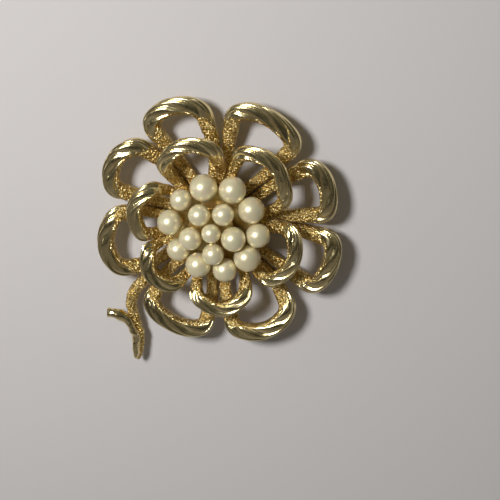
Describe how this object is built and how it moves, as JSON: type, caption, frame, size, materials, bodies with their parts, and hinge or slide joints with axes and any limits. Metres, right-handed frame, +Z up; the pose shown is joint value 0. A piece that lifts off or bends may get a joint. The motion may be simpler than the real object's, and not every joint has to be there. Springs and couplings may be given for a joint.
{
  "type": "brooch",
  "caption": "Gold-toned flower brooch: two tiers of open twisted petal loops round a domed cluster of pearls, a short stem with a twig, and a bar pin with a turning catch.",
  "frame": {"origin": "on the pin's axis, at the middle of its free cylindrical length, where cloth is gripped", "axes": "+Z up as worn, the flower faces -Y, +X towards the catch, to the right of someone looking at the flower"},
  "size_m": [0.0466, 0.0179, 0.0537],
  "materials": {
    "petal_gold": "polished gold plate on the twisted outer bands, fine-grained and satin on the legs",
    "stem_gold": "gold plate with a bark-like grain",
    "finding_gold": "satin gold plate",
    "pin_metal": "gold-plated steel wire, polished",
    "pearl": "cream pearl lustre"
  },
  "bodies": {
    "flower": {"catch_body": "finding_gold", "centre_rivet": "finding_gold", "front_hub": "finding_gold", "hinge_bracket": "finding_gold", "hinge_rivet": "finding_gold", "inner_petal_1": "petal_gold", "inner_petal_2": "petal_gold", "inner_petal_3": "petal_gold", "inner_petal_4": "petal_gold", "inner_petal_5": "petal_gold", "inner_petal_6": "petal_gold", "outer_petal_1": "petal_gold", "outer_petal_2": "petal_gold", "outer_petal_3": "petal_gold", "outer_petal_4": "petal_gold", "outer_petal_5": "petal_gold", "outer_petal_6": "petal_gold", "outer_petal_7": "petal_gold", "outer_petal_8": "petal_gold", "pearl_01": "pearl", "pearl_02": "pearl", "pearl_03": "pearl", "pearl_04": "pearl", "pearl_05": "pearl", "pearl_06": "pearl", "pearl_07": "pearl", "pearl_08": "pearl", "pearl_09": "pearl", "pearl_10": "pearl", "pearl_11": "pearl", "pearl_12": "pearl", "pearl_13": "pearl", "pearl_14": "pearl", "pearl_15": "pearl", "pearl_16": "pearl", "pearl_crown": "finding_gold", "pearl_plate": "finding_gold", "pin_bar": "finding_gold", "rear_hub": "finding_gold", "stem": "stem_gold", "stem_twig": "stem_gold"},
    "pin": {"pin_stem": "pin_metal"},
    "collar": {"catch_collar": "finding_gold"}
  },
  "joints": [
    {"name": "pin_hinge", "type": "hinge", "parent": "flower", "child": "pin", "pos_m": [-0.01215, 0, 0], "axis": [0, 0, 1], "range_deg": [0, 90]},
    {"name": "collar_turn", "type": "hinge", "parent": "flower", "child": "collar", "pos_m": [0.01295, 0, 0], "axis": [1, 0, 0], "range_deg": [0, 150]}
  ]
}
